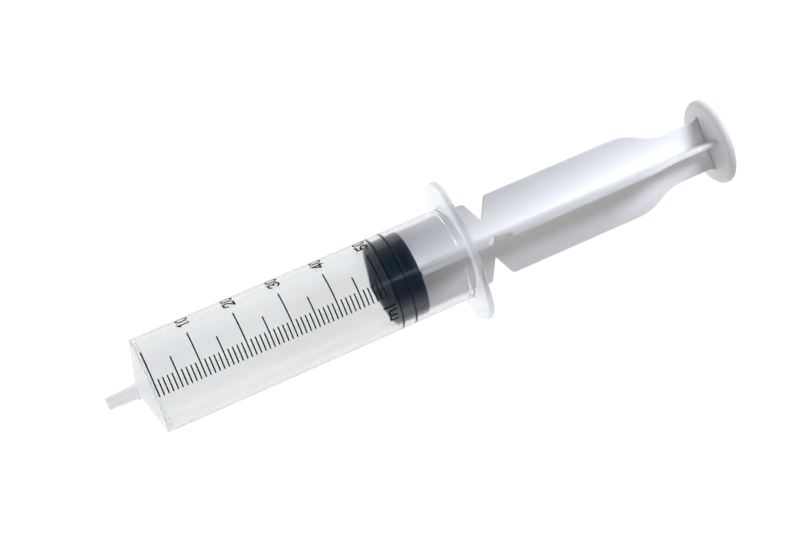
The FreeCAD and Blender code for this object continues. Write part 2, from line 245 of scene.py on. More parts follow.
class Finishes(bpy.types.PropertyGroup):
    clear: colour("Clear plastic", "What a wall of the barrel lets through", (0.908, 0.916, 0.922))
    clear_cloud: colour("Clear plastic, cloudy", "The same where the moulding is thicker", (0.87, 0.88, 0.89))
    white: colour("White plastic", "Rod and thumb disc", (0.93, 0.925, 0.94))
    white_shade: colour("White plastic, shade", "Faint flow streaks in it", (0.90, 0.895, 0.915))
    rubber: colour("Rubber", "Stopper", (0.006, 0.0145, 0.031))
    rubber_bloom: colour("Rubber bloom", "Where the silicone oil has dried", (0.012, 0.022, 0.038))
    ink: colour("Ink", "Scale and numbers", (0.002, 0.002, 0.002))


class StudioSettings(bpy.types.PropertyGroup):
    focal_length: FloatProperty(name="Focal length", description="Of the lens, on a 36 mm sensor",
                                default=68.65, subtype="DISTANCE_CAMERA")
    tilt: angle("Camera tilt", "How far the camera looks towards the disc end", 12.07)
    roll: angle("Camera roll", "How far the syringe is turned in the picture", 23.474)
    key_strength: FloatProperty(name="Key light", description="Power of the soft lamp at the disc's end",
                                default=0.80, unit="POWER")
    key_tone: colour("Key tone", "Faintly cool tone of that lamp", (0.86, 0.915, 1.0))
    strip_strength: FloatProperty(name="Strip light", description="Power of the narrow lamp overhead",
                                  default=0.5, unit="POWER")
    wall_level: share("Wall level", "Brightness of the room at the height of the table", 1.0)
    ceiling_level: share("Ceiling level", "Brightness of the dim ceiling", 0.05)
    far_share: share("Far wall", "Brightness of the far side of the room against the near side", 0.25)
    front_level: share("Front wall", "Brightness of the room on the nozzle's side", 0.85)
    table_glow: share("Table glow", "Light of the white table itself", 0.96)
    table_far: share("Table, far", "Its light away from the syringe, in mirror images and bounced light", 0.4)
    table_shade: share("Table shade", "How much of the lamps' light the table shows as well", 0.18)


# Profiles

def unit(vector):
    return vector / vector.length


def rounded(corners, closed=False, steps=6, support=0.00012):
    """A polyline through (along, radius, round) corners, with an arc at each corner that has a round."""
    spots = [Vector((corner[0], corner[1])) for corner in corners]
    line = []
    for index, corner in enumerate(corners):
        at_end = index in (0, len(corners) - 1) and not closed
        if at_end or len(corner) < 3 or corner[2] == 0:
            line.append(spots[index])
            continue
        here, before, after = spots[index], spots[index - 1], spots[(index + 1) % len(spots)]
        back, on = unit(before - here), unit(after - here)
        half = back.angle(on) / 2
        run = corner[2] / math.tan(half)
        centre = here + unit(back + on) * (corner[2] / math.sin(half))
        start, finish = here + back * run - centre, here + on * run - centre
        sweep = start.angle_signed(finish)
        if (before - here).length > (run + support) * 2:
            line.append(here + back * (run + support))
        for step in range(steps + 1):
            turn = -sweep * step / steps
            line.append(centre + Matrix.Rotation(turn, 2) @ start)
        if (after - here).length > (run + support) * 2:
            line.append(here + on * (run + support))
    return line


def bump_arc(middle, foot, crest, half_width, steps=8, support=0.00008):
    """Points over a round bead that rises (or sinks) from a foot radius to a crest radius.

    A point just beside each foot keeps the shading of the long faces next to it level.
    """
    rise = crest - foot
    bead = (half_width ** 2 + rise ** 2) / (2 * abs(rise))
    reach = math.asin(half_width / bead) if abs(rise) < half_width else math.pi - math.asin(half_width / bead)
    side = math.copysign(1, rise)
    bead_line = [Vector((middle + bead * math.sin(reach * (2 * step / steps - 1)),
                         crest + side * bead * (math.cos(reach * (2 * step / steps - 1)) - 1)))
                 for step in range(steps + 1)]
    feet = [[Vector((middle + way * (half_width + support * gap), foot)) for gap in gaps]
            for way, gaps in ((-1, (2, 1)), (1, (1, 2)))]
    return feet[0] + bead_line + feet[1]


# Meshes

def new_piece(name, mesh_data, materials, body):
    """A finished mesh as a smooth-shaded object that rides on a body."""
    mesh = bpy.data.meshes.new(name)
    mesh_data.to_mesh(mesh)
    mesh_data.free()
    mesh.shade_smooth()
    mesh.set_sharp_from_angle(angle=SHARP_ANGLE)
    for material in materials:
        mesh.materials.append(material)
    piece = bpy.data.objects.new(name, mesh)
    bpy.context.scene.collection.objects.link(piece)
    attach(piece, body)
    return piece


def around(place, radius, turn):
    """A point at a radius from the axis, turned from straight up towards -Y."""
    return Vector((place, -radius * math.sin(turn), radius * math.cos(turn)))


def add_turned(mesh_data, line, segments, closed=False, radius_at=None):
    """Turns a profile about the X axis. radius_at may change a radius with the turn."""
    rings = []
    for spot in line:
        if spot.y < 1e-7:
            rings.append([mesh_data.verts.new((spot.x, 0, 0))])
            continue
        ring = []
        for step in range(segments):
            turn = math.tau * step / segments
            radius = radius_at(spot.y, turn) if radius_at else spot.y
            ring.append(mesh_data.verts.new(around(spot.x, radius, turn)))
        rings.append(ring)
    pairs = list(zip(rings, rings[1:] + rings[:1])) if closed else list(zip(rings, rings[1:]))
    for ring, following in pairs:
        for step in range(segments):
            on = (step + 1) % segments
            corners = [ring[step % len(ring)], ring[on % len(ring)],
                       following[on % len(following)], following[step % len(following)]]
            face = list(dict.fromkeys(corners))
            if len(face) > 2:
                mesh_data.faces.new(face)
    bmesh.ops.recalc_face_normals(mesh_data, faces=mesh_data.faces)


# Barrel

def flange_outline(sizes, turn):
    """Axis to the flange's edge: curved sides, straight flanks and rounded wing tips."""
    across, up = abs(math.sin(turn)), abs(math.cos(turn))
    drop = sizes.side_radius - sizes.side_reach
    side = -drop * up + math.sqrt(sizes.side_radius ** 2 - drop ** 2 + (drop * up) ** 2)
    sine, cosine = math.sin(sizes.flank_slope), math.cos(sizes.flank_slope)
    if side * across > sizes.side_radius * sine:
        gap = sizes.side_radius * sine * sine + (sizes.side_radius * cosine - drop) * cosine
        side = gap / (across * sine + up * cosine)
    blend = sizes.corner_blend
    return -blend * math.log(math.exp(-side / blend) + math.exp(-FLANGE_REACH / blend))


def rim_place(sizes):
    """Where the coned front end meets the tube."""
    cone = (BARREL_RADIUS - sizes.boss_radius) * math.tan(sizes.end_slope)
    return sizes.nozzle_length + sizes.boss_length + cone


def barrel_line(sizes):
    """The closed section of barrel, nozzle and flange: along the outside and back through the bore."""
    slope = math.tan(sizes.end_slope)
    nozzle_root = sizes.nozzle_mouth + sizes.nozzle_length * sizes.luer_taper / 2
    boss_back = sizes.nozzle_length + sizes.boss_length
    rim = rim_place(sizes)
    bore = SEAL_RADIUS - sizes.seal_squeeze
    bore_end = rim + sizes.front_wall
    stop = FLANGE_BACK - sizes.stop_setback
    outside = [
        (0, FLUID_WAY_RADIUS, MOUTH_BORE_ROUND),
        (0, sizes.nozzle_mouth, MOUTH_ROUND),
        (sizes.nozzle_length, nozzle_root, NOZZLE_ROOT_ROUND),
        (sizes.nozzle_length, sizes.boss_radius, BOSS_ROUND),
        (boss_back, sizes.boss_radius, BOSS_ROOT_ROUND),
        (rim, BARREL_RADIUS, sizes.rim_round),
        (FLANGE_FRONT, BARREL_RADIUS, sizes.root_round),
        (FLANGE_FRONT, FLANGE_REACH, sizes.edge_round),
        (FLANGE_BACK, FLANGE_REACH, sizes.edge_round),
        (FLANGE_BACK, bore + LEAD_IN, LEAD_IN_ROUND),
        (FLANGE_BACK - LEAD_IN, bore, LEAD_IN_FOOT_ROUND),
    ]
    inside = [
        (bore_end, bore, BORE_END_ROUND),
        (bore_end - (bore - FLUID_WAY_RADIUS) * slope, FLUID_WAY_RADIUS, FLUID_WAY_ROUND),
    ]
    stop_ring = bump_arc(stop, bore, bore - sizes.stop_rise, sizes.stop_width)[::-1]
    line = rounded(outside + inside, closed=True)
    bead_at = next(index for index, spot in enumerate(line) if spot.x < stop and index > len(line) / 2)
    return line[:bead_at] + stop_ring + line[bead_at:]


class SYRINGE_OT_barrel(bpy.types.Operator):
    """Makes the clear barrel with its nozzle and finger flange"""
    bl_idname = "syringe.barrel"
    bl_label = "Barrel"

    def execute(self, context):
        sizes = context.scene.syringe_barrel
        flange_zone = FLANGE_REACH - FLANGE_RIM

        def radius_at(radius, turn):
            if radius < flange_zone:
                return radius
            return flange_outline(sizes, turn) - (FLANGE_REACH - radius)

        mesh_data = bmesh.new()
        add_turned(mesh_data, barrel_line(sizes), BARREL_STEPS, closed=True, radius_at=radius_at)
        nose_end = scale_places(context)[0] + NOSE_MARGIN
        for face in mesh_data.faces:
            spot = face.calc_center_median()
            off_axis = math.hypot(spot.y, spot.z)
            flange = off_axis > BARREL_RADIUS + FLANGE_MARGIN
            nose = spot.x < nose_end
            ring = nose and off_axis > BARREL_RADIUS - CLOUDY_DEPTH
            face.material_index = 2 if ring else 1 if flange or nose else 0
        finishes = [clear_plastic(), etched_plastic(), thick_plastic()]
        piece = new_piece("barrel_moulding", mesh_data, finishes, "barrel")
        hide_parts("barrel")
        return {"FINISHED"}


# Printed scale

def scale_places(context):
    """Where the scale begins, and how far apart its 1 ml marks are."""
    sizes = context.scene.syringe_barrel
    return rim_place(sizes) + sizes.front_wall, ML / (math.pi * (BARREL_RADIUS - sizes.wall) ** 2)


def add_mark(mesh_data, place, foot, end, width, radius):
    """A printed line round part of the barrel, with round ends."""
    cap = width / 2 / radius
    turns = [foot - cap * (1 - math.cos(step * math.pi / 8)) for step in range(5)]
    count = max(2, int(abs(foot - end) / ARC_STEP))
    turns += [foot - cap + (end + cap - foot + cap) * step / count for step in range(1, count)]
    turns += [end + cap * (1 - math.sin(step * math.pi / 8)) for step in range(5)]
    sides = [math.sin(step * math.pi / 8) for step in range(5)] + [1] * (count - 1)
    sides += [math.cos(step * math.pi / 8) for step in range(5)]
    pairs = [[mesh_data.verts.new(around(place + way * width / 2 * max(side, 0.05), radius, turn))
              for way in (-1, 1)] for turn, side in zip(turns, sides)]
    for pair, following in zip(pairs, pairs[1:]):
        mesh_data.faces.new((pair[0], pair[1], following[1], following[0]))


class SYRINGE_OT_scale(bpy.types.Operator):
    """Prints the scale's marks on the barrel"""
    bl_idname = "syringe.scale"
    bl_label = "Scale marks"

    def execute(self, context):
        sizes = context.scene.syringe_scale
        zero, pitch = scale_places(context)
        mesh_data = bmesh.new()
        for mark in range(sizes.capacity + 1):
            end = sizes.short_end
            if mark % 10 == 0:
                end = sizes.long_end
            elif mark % 5 == 0:
                end = sizes.middle_end
            add_mark(mesh_data, zero + pitch * mark, sizes.line_foot, end, sizes.line_width,
                     BARREL_RADIUS + sizes.ink_lift)
        new_piece("scale_marks", mesh_data, [printed_ink()], "barrel")
        return {"FINISHED"}


def bow(across, up, wide, high, start, finish):
    """Points along part of an upright ellipse, between two angles in degrees."""
    return [(across + wide * math.cos(math.radians(start + (finish - start) * step / 10)),
             up + high * math.sin(math.radians(start + (finish - start) * step / 10))) for step in range(11)]


def strokes_of(letter, wide):
    """The pen strokes of a number or a letter one unit high, and the width that it takes up."""
    half = wide / 2
    waist = 0.49
    arch = wide * 0.43
    shoulder = 0.5
    if letter == "0":
        return [bow(half, 1 - half, half, half, 0, 180) + bow(half, half, half, half, 180, 360)
                + [(wide, 1 - half)]], wide
    if letter == "1":
        return [[(half * 0.95, 0), (half * 0.95, 1), (half * 0.3, 0.8), (half * 0.95, 0.75)]], wide * 0.8
    if letter == "2":
        return [bow(half, 1 - half, half, half, 190, -32) + [(0, 0), (wide, 0)]], wide
    if letter == "3":
        return [bow(half, (1 + waist) / 2, half * 0.9, (1 - waist) / 2, 175, -90)
                + bow(half, waist / 2, half, waist / 2, 90, -170)], wide
    if letter == "4":
        return [[(wide * 0.8, 0), (wide * 0.8, 1), (0, 0.3), (wide * 1.05, 0.3)]], wide
    if letter == "5":
        return [[(wide * 0.95, 1), (wide * 0.08, 1), (wide * 0.04, 0.5)]
                + bow(half * 0.95, 0.31, half, 0.31, 145, -155)], wide
    if letter == "m":
        return [[(0, 0), (0, 0.72)], bow(arch, shoulder, arch, 0.22, 180, 0) + [(2 * arch, 0)],
                bow(3 * arch, shoulder, arch, 0.22, 180, 0) + [(4 * arch, 0)]], 4 * arch
    if letter == "l":
        return [[(0, 0), (0, 1.07)]], 0
    raise ValueError("no strokes for " + letter)


def inked(text, height, wide, gap, pen):
    """Text as one flat mesh without overlaps: across along X, up along Y, in metres."""
    outlines = []
    cap = [math.radians(30 * step) for step in range(7)]
    corners = 2 * len(cap)
    left = 0
    for letter in text:
        strokes, advance = strokes_of(letter, wide)
        for stroke in strokes:
            spots = [Vector((left + spot[0], spot[1])) * height for spot in stroke]
            for start, finish in zip(spots, spots[1:]):
                if (finish - start).length < height / 1000:
                    continue
                side = unit(finish - start).orthogonal() * pen / 2
                outlines.append([start + Matrix.Rotation(turn, 2) @ side for turn in cap]
                                + [finish - Matrix.Rotation(turn, 2) @ side for turn in cap])
        left += advance + gap
    spots = [spot for outline in outlines for spot in outline]
    faces = [list(range(corners * index, corners * (index + 1))) for index in range(len(outlines))]
    verts, _, faces, _, _, sources = delaunay_2d_cdt(spots, [], faces, 1, height / 5000)
    mesh_data = bmesh.new()
    made = [mesh_data.verts.new((vert.x, vert.y, 0)) for vert in verts]
    for face, source in zip(faces, sources):
        if source:
            mesh_data.faces.new([made[index] for index in face])
    bmesh.ops.delete(mesh_data, geom=[vert for vert in made if not vert.link_faces], context="VERTS")
    return mesh_data


def wrap(mesh_data, foot, start, radius):
    """Bends flat lettering round the barrel from an angle on, its tops towards the nozzle."""
    low = min(vert.co.x for vert in mesh_data.verts)
    high = max(vert.co.x for vert in mesh_data.verts)
    count = max(2, int((high - low) / radius / ARC_STEP))
    for cut in range(1, count):
        bmesh.ops.bisect_plane(mesh_data, geom=mesh_data.verts[:] + mesh_data.edges[:] + mesh_data.faces[:],
                               plane_co=(low + (high - low) * cut / count, 0, 0), plane_no=(1, 0, 0))
    for vert in mesh_data.verts:
        vert.co = around(foot - vert.co.y, radius, start - vert.co.x / radius)


class SYRINGE_OT_numbers(bpy.types.Operator):
    """Prints the scale's numbers and its unit on the barrel"""
    bl_idname = "syringe.numbers"
    bl_label = "Scale numbers"

    def execute(self, context):
        sizes = context.scene.syringe_scale
        zero, pitch = scale_places(context)
        words = [(str(mark), mark, sizes.digit_drop, sizes.digit_start)
                 for mark in range(10, sizes.capacity + 1, 10)]
        words.append(("ml", sizes.capacity, sizes.unit_drop, sizes.unit_start))
        whole = bmesh.new()
        for text, mark, drop, start in words:
            mesh_data = inked(text, sizes.digit_height, sizes.digit_width, sizes.digit_gap, sizes.pen_width)
            wrap(mesh_data, zero + pitch * mark + drop, start, BARREL_RADIUS + sizes.ink_lift)
            mesh = bpy.data.meshes.new("word")
            mesh_data.to_mesh(mesh)
            mesh_data.free()
            whole.from_mesh(mesh)
            bpy.data.meshes.remove(mesh)
        new_piece("scale_numbers", whole, [printed_ink()], "barrel")
        return {"FINISHED"}


# Stopper

class SYRINGE_OT_stopper(bpy.types.Operator):
    """Makes the rubber stopper with its two sealing ribs"""
    bl_idname = "syringe.stopper"
    bl_label = "Stopper"

    def execute(self, context):
        sizes = context.scene.syringe_stopper
        body = SEAL_RADIUS - sizes.rib_rise
        rear = STOPPER_BACK - sizes.rear_rib
        front = rear - sizes.rib_pitch
        band = SEAL_RADIUS - sizes.band_inset
        band_start = STOPPER_BACK - sizes.band_length
        shoulder = front - sizes.rib_half
        blunt = sizes.face_round
        setback = blunt * (1 / math.cos(sizes.face_slope) - 1)
        turns = [sizes.face_slope * step / 8 for step in range(9)]
        nose = [Vector((STOPPER_TIP + blunt * (1 - math.cos(turn)) + setback, blunt * math.sin(turn)))
                for turn in turns]
        back = rounded([
            (band_start, body),
            (band_start + 2 * (band - body), band, BAND_ROUND),
            (STOPPER_BACK, band, sizes.back_round),
            (STOPPER_BACK, sizes.lip_radius, LIP_ROUND),
            (STOPPER_BACK - sizes.lip_thickness, sizes.lip_radius, LIP_INNER_ROUND),
            (STOPPER_BACK - sizes.lip_thickness, sizes.socket_radius, SOCKET_MOUTH_ROUND),
            (STOPPER_BACK - sizes.socket_depth, sizes.socket_radius, SOCKET_END_ROUND),
            (STOPPER_BACK - sizes.socket_depth, 0),
        ])
        cone = [Vector((STOPPER_TIP + (shoulder - STOPPER_TIP) * step / 12, body * step / 12))
                for step in range(2, 12)]
        line = nose + cone + bump_arc(front, body, SEAL_RADIUS, sizes.rib_half)
        line += bump_arc(rear, body, SEAL_RADIUS, sizes.rib_half) + back
        mesh_data = bmesh.new()
        add_turned(mesh_data, line, STOPPER_STEPS)
        piece = new_piece("stopper_rubber", mesh_data, [siliconed_rubber()], "stopper")
        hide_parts("stopper")
        return {"FINISHED"}


# Plunger rod

def rib_edge(sizes):
    """The edge of a rib from the stopper to the thumb disc, as (along, reach) points."""
    front = STOPPER_BACK + sizes.shoulder_gap
    full = SEAL_RADIUS - sizes.bore_clearance
    neck = full - sizes.waist_drop
    thumb = THUMB_BACK - sizes.thumb_thickness
    notch = front + sizes.notch_place
    curve = (sizes.waist_run ** 2 + sizes.waist_drop ** 2) / (4 * sizes.waist_drop)
    bend = curve * math.tan(math.asin(sizes.waist_run / 2 / curve) / 2)
    waist = front + sizes.waist_start
    edge = rounded([
        (front, full),
        (notch - sizes.notch_half, full, sizes.notch_round),
        (notch, full - sizes.notch_depth, NOTCH_BOTTOM_ROUND),
        (notch + sizes.notch_half, full, sizes.notch_round),
        (waist + bend, full, curve),
        (waist + sizes.waist_run - bend, neck, curve),
        (thumb - sizes.flare_length, neck),
    ], steps=10)
    sweep = math.asin(sizes.flare_length / sizes.flare_radius)
    for step in range(1, 7):
        turn = sweep * step / 6
        edge.append(Vector((thumb - sizes.flare_length + sizes.flare_radius * math.sin(turn),
                            neck + sizes.flare_radius * (1 - math.cos(turn)))))
    return edge


def cross_section(sizes, place, reach):
    """The four ribs cut across, as points turned with the rod. A point stands just before each round."""
    half, soft, root = sizes.rib_thickness / 2, sizes.edge_round, sizes.root_round
    before = 1.6
    quarter = [Vector((half + root * before, -half)), Vector((reach - soft * before, -half))]
    for step in range(4):
        turn = math.radians(30 * step)
        quarter.append(Vector((reach - soft + soft * math.sin(turn), -half + soft - soft * math.cos(turn))))
    quarter += [Vector((spot.x, -spot.y)) for spot in reversed(quarter)]
    corner = half + root
    for step in range(5):
        turn = math.radians(22.5 * step)
        quarter.append(Vector((corner - root * math.sin(turn), corner - root * math.cos(turn))))
    ring = []
    for rib in range(4):
        turn = Matrix.Rotation(math.pi / 2 * rib + sizes.turn, 2)
        for spot in quarter:
            across = turn @ spot
            ring.append(Vector((place, -across.y, across.x)))
    return ring


class SYRINGE_OT_rod(bpy.types.Operator):
    """Makes the white plunger rod with its thumb disc"""
    bl_idname = "syringe.rod"
    bl_label = "Plunger rod"

    def execute(self, context):
        sizes = context.scene.syringe_rod
        stopper = context.scene.syringe_stopper
        mesh_data = bmesh.new()
        rings = [[mesh_data.verts.new(spot) for spot in cross_section(sizes, place, reach)]
                 for place, reach in rib_edge(sizes)]
        for ring, following in zip(rings, rings[1:]):
            for index in range(len(ring)):
                mesh_data.faces.new((ring[index - 1], ring[index], following[index], following[index - 1]))
        mesh_data.faces.new(rings[0])
        mesh_data.faces.new(rings[-1][::-1])
        thumb = THUMB_BACK - sizes.thumb_thickness
        disc = rounded([
            (thumb, 0), (thumb, THUMB_RADIUS, sizes.thumb_round),
            (THUMB_BACK, THUMB_RADIUS, sizes.thumb_back_round),
            (THUMB_BACK, THUMB_RADIUS * DISC_FACE_SHARE),
        ])
        for ring_number in range(sizes.ring_count, 0, -1):
            middle = ring_number * sizes.ring_pitch
            bead = bump_arc(middle, THUMB_BACK, THUMB_BACK - sizes.ring_depth, sizes.ring_half)
            disc += [Vector((spot.y, spot.x)) for spot in reversed(bead)]
        disc.append(Vector((THUMB_BACK, 0)))
        add_turned(mesh_data, disc, DISC_STEPS)
        play = sizes.head_play
        neck_end = STOPPER_BACK - stopper.lip_thickness - play
        head = rounded([
            (HEAD_FRONT, 0),
            (HEAD_FRONT, stopper.socket_radius - play, HEAD_ROUND),
            (neck_end, stopper.socket_radius - play, NECK_ROUND),
            (neck_end, stopper.lip_radius - play, NECK_ROUND),
            (STOPPER_BACK + NECK_OVERLAP, stopper.lip_radius - play),
            (STOPPER_BACK + NECK_OVERLAP, 0),
        ])
        add_turned(mesh_data, head, HEAD_STEPS)
        piece = new_piece("plunger_rod_moulding", mesh_data, [white_plastic()],
                          "plunger_rod")
        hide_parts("plunger_rod")
        return {"FINISHED"}


# Node groups that several finishes share

def new_group(name, inputs, outputs):
    """An empty shader node group with named float and colour sockets."""
    group = bpy.data.node_groups.new(name, "ShaderNodeTree")
    for label, kind, default in inputs:
        socket = group.interface.new_socket(name=label, in_out="INPUT", socket_type=kind)
        socket.default_value = default
    for label, kind in outputs:
        group.interface.new_socket(name=label, in_out="OUTPUT", socket_type=kind)
    return group, group.nodes.new("NodeGroupInput").outputs, group.nodes.new("NodeGroupOutput").inputs


def add_node(tree, kind, links=None, **settings):
    """A node with its properties set, and its inputs linked or given a value."""
    node = tree.nodes.new(kind)
    for name, value in settings.items():
        setattr(node, name, value)
    for name, value in (links or {}).items():
        if isinstance(value, bpy.types.NodeSocket):
            tree.links.new(value, node.inputs[name])
        else:
            node.inputs[name].default_value = value
    return node


def add_math(tree, operation, *values):
    """The result of a Math node, with its inputs in order."""
    return add_node(tree, "ShaderNodeMath", dict(enumerate(values)), operation=operation).outputs[0]


def own_place(tree):
    """Where a point lies in its piece's own frame."""
    return add_node(tree, "ShaderNodeTexCoord").outputs["Object"]


def moulding_grain():
    """The skin of a moulded surface: slow waves and a fine grain, as a height."""
    if "moulding_grain" in bpy.data.node_groups:
        return bpy.data.node_groups["moulding_grain"]
    group, given, result = new_group(
        "moulding_grain",
        [("Wave scale", "NodeSocketFloat", 200), ("Grain scale", "NodeSocketFloat", 4000),
         ("Grain share", "NodeSocketFloat", 0.3)],
        [("Height", "NodeSocketFloat")])
    place = own_place(group)
    stretched = add_node(group, "ShaderNodeMapping", {"Vector": place, "Scale": (0.35, 1, 1)})
    waves = add_node(group, "ShaderNodeTexNoise", {"Vector": stretched.outputs["Vector"],
                                                   "Scale": given["Wave scale"], "Detail": 2.0})
    grain = add_node(group, "ShaderNodeTexNoise", {"Vector": place, "Scale": given["Grain scale"],
                                                   "Detail": 3.0})
    mixed = add_node(group, "ShaderNodeMix", {"Factor": given["Grain share"], "A": waves.outputs["Fac"],
                                              "B": grain.outputs["Fac"]})
    group.links.new(mixed.outputs["Result"], result["Height"])
    return group


def flow_tint():
    """Two tones of one plastic, mixed in clouds drawn out along the part."""
    if "flow_tint" in bpy.data.node_groups:
        return bpy.data.node_groups["flow_tint"]
    group, given, result = new_group(
        "flow_tint",
        [("Tone", "NodeSocketColor", (1, 1, 1, 1)), ("Second tone", "NodeSocketColor", (0.9, 0.9, 0.9, 1)),
         ("Scale", "NodeSocketFloat", 60), ("Spread", "NodeSocketFloat", 1)],
        [("Color", "NodeSocketColor")])
    place = own_place(group)
    drawn = add_node(group, "ShaderNodeMapping", {"Vector": place, "Scale": (0.3, 1, 1)})
    cloud = add_node(group, "ShaderNodeTexNoise", {"Vector": drawn.outputs["Vector"], "Scale": given["Scale"],
                                                   "Detail": 4.0, "Roughness": 0.55})
    mask = add_node(group, "ShaderNodeMapRange", {"Value": cloud.outputs["Fac"], "From Min": 0.35,
                                                  "From Max": 0.7, "To Max": given["Spread"]})
    mixed = add_node(group, "ShaderNodeMix", {"Factor": mask.outputs["Result"], "A": given["Tone"],
                                              "B": given["Second tone"]}, data_type="RGBA")
    group.links.new(mixed.outputs["Result"], result["Color"])
    return group


def handling_marks():
    """Fine hairlines and finger smears, as a change of roughness."""
    if "handling_marks" in bpy.data.node_groups:
        return bpy.data.node_groups["handling_marks"]
    group, given, result = new_group(
        "handling_marks",
        [("Roughness", "NodeSocketFloat", 0.4), ("Smear", "NodeSocketFloat", 0.1),
         ("Hairline", "NodeSocketFloat", 0.1)],
        [("Roughness", "NodeSocketFloat")])
    place = own_place(group)
    smear = add_node(group, "ShaderNodeTexNoise", {"Vector": place, "Scale": 110.0, "Detail": 5.0})
    turned = add_node(group, "ShaderNodeMapping", {"Vector": place, "Rotation": (0.3, 0.2, 0.6),
                                                   "Scale": (0.04, 1, 1)})
    lines = add_node(group, "ShaderNodeTexNoise", {"Vector": turned.outputs["Vector"], "Scale": 2600.0,
                                                   "Detail": 1.0})
    thin = add_node(group, "ShaderNodeMapRange", {"Value": lines.outputs["Fac"], "From Min": 0.66,
                                                  "From Max": 0.72})
    smeared = add_math(group, "MULTIPLY_ADD", smear.outputs["Fac"], given["Smear"], given["Roughness"])
    scratched = add_math(group, "MULTIPLY_ADD", thin.outputs["Result"], given["Hairline"], smeared)
    group.links.new(scratched, result["Roughness"])
    return group


def start_material(name):
    """A material with only an output, ready for its own nodes. None if it's there already."""
    if name in bpy.data.materials:
        return bpy.data.materials[name], None, None
    material = bpy.data.materials.new(name)
    material.use_nodes = True
    tree = material.node_tree
    tree.nodes.clear()
    return material, tree, tree.nodes.new("ShaderNodeOutputMaterial").inputs["Surface"]


def use_group(tree, group, **values):
    """A node group placed in a material with its own values, underscores for spaces."""
    node = tree.nodes.new("ShaderNodeGroup")
    node.node_tree = group
    for name, value in values.items():
        node.inputs[name.replace("_", " ")].default_value = value
    return node.outputs


def rgba(tone):
    return (*tone, 1)


def surface_normal(tree, strength, distance, **grain):
    """The normal of a moulded skin."""
    height = use_group(tree, moulding_grain(), **grain)["Height"]
    return add_node(tree, "ShaderNodeBump", {"Strength": strength, "Distance": distance,
                                             "Height": height}).outputs["Normal"]


def polypropylene(name, roughness, clarity, wave, milk):
    """Clear polypropylene, more or less milky. Lamps and bounced light pass straight through it."""
    material, tree, surface = start_material(name)
    if tree is None:
        return material
    finish = bpy.context.scene.syringe_finishes
    tint = use_group(tree, flow_tint(), Tone=rgba(finish.clear), Second_tone=rgba(finish.clear_cloud),
                     Scale=45)
    rough = use_group(tree, handling_marks(), Roughness=roughness, Smear=0.03, Hairline=0.05)
    plastic = add_node(tree, "ShaderNodeBsdfPrincipled", {
        "Base Color": tint["Color"], "Roughness": rough["Roughness"], "IOR": 1.46,
        "Transmission Weight": clarity,
        "Normal": surface_normal(tree, wave, 0.00002, Wave_scale=130, Grain_scale=2500, Grain_share=0.2)})
    straight = add_node(tree, "ShaderNodeBsdfTransparent", {"Color": (1, 1, 1, 1)})
    milky = add_node(tree, "ShaderNodeBsdfTranslucent", {"Color": (0.95, 0.96, 0.97, 1)})
    body = add_node(tree, "ShaderNodeMixShader", {0: milk, 1: plastic.outputs[0], 2: milky.outputs[0]})
    path = add_node(tree, "ShaderNodeLightPath").outputs
    soft = add_math(tree, "MAXIMUM", path["Is Shadow Ray"], path["Is Diffuse Ray"])
    mixed = add_node(tree, "ShaderNodeMixShader", {0: soft, 1: body.outputs[0], 2: straight.outputs[0]})
    tree.links.new(mixed.outputs[0], surface)
    return material


def clear_plastic():
    """The polished tube."""
    return polypropylene("clear_polypropylene", roughness=0.10, clarity=1.0, wave=0.012, milk=0.0)


def etched_plastic():
    """The matt front end, nozzle and flange, where the mould isn't polished."""
    return polypropylene("etched_polypropylene", roughness=0.42, clarity=0.8, wave=0.06, milk=0.22)


def thick_plastic():
    """The thick ring where the front end meets the tube, which looks cloudy from the side."""
    return polypropylene("thick_polypropylene", roughness=0.45, clarity=0.5, wave=0.06, milk=0.2)


def white_plastic():
    """Satin white polypropylene with a cool cast and a little light carried under its skin, with painted
    shade: darker towards the ribs' outer edges and darker over the thumb disc.
    """
    material, tree, surface = start_material("white_polypropylene")
    if tree is None:
        return material
    finish = bpy.context.scene.syringe_finishes
    tint = use_group(tree, flow_tint(), Tone=rgba(finish.white), Second_tone=rgba(finish.white_shade),
                     Scale=55, Spread=0.7)
    place = own_place(tree)
    across = add_node(tree, "ShaderNodeVectorMath", {0: place, 1: (0, 1, 1)}, operation="MULTIPLY")
    off_axis = add_node(tree, "ShaderNodeVectorMath", {0: across.outputs[0]}, operation="LENGTH")
    # Painted shade: the ribs' colour darkens from near the axis out to their edges.
    thin = add_node(tree, "ShaderNodeMapRange", {
        "Value": off_axis.outputs["Value"], "From Min": PAINTED_SHADE_FROM, "From Max": PAINTED_SHADE_TO,
        "To Min": 0.0, "To Max": PAINTED_SHADE_LOSS})
    along = add_node(tree, "ShaderNodeSeparateXYZ", {"Vector": place}).outputs["X"]
    # Painted shade: the thumb disc's end takes a darker tone, and the ribs take the darkening above.
    on_ribs = add_math(tree, "LESS_THAN", along, THUMB_BACK - DISC_SHADE_ZONE)
    ribs_shade_scale = add_math(tree, "SUBTRACT", 1.0, add_math(tree, "MULTIPLY", on_ribs, thin.outputs["Result"]))
    painted_shade_scale = add_node(tree, "ShaderNodeMapRange", {
        "Value": on_ribs, "From Min": 0.0, "From Max": 1.0, "To Min": DISC_PAINTED_SHADE, "To Max": ribs_shade_scale})
    tone = add_node(tree, "ShaderNodeVectorMath", {0: tint["Color"], "Scale": painted_shade_scale.outputs["Result"]},
                    operation="SCALE")
    rough = use_group(tree, handling_marks(), Roughness=0.38, Smear=0.10, Hairline=0.12)
    plastic = add_node(tree, "ShaderNodeBsdfPrincipled", {
        "Base Color": tone.outputs[0], "Roughness": rough["Roughness"], "IOR": 1.49,
        "Subsurface Weight": 0.5, "Subsurface Radius": (1.2, 1.0, 0.85), "Subsurface Scale": 0.0015,
        "Normal": surface_normal(tree, 0.3, 0.00003, Wave_scale=160, Grain_scale=3500, Grain_share=0.35)})
    tree.links.new(plastic.outputs[0], surface)
    return material


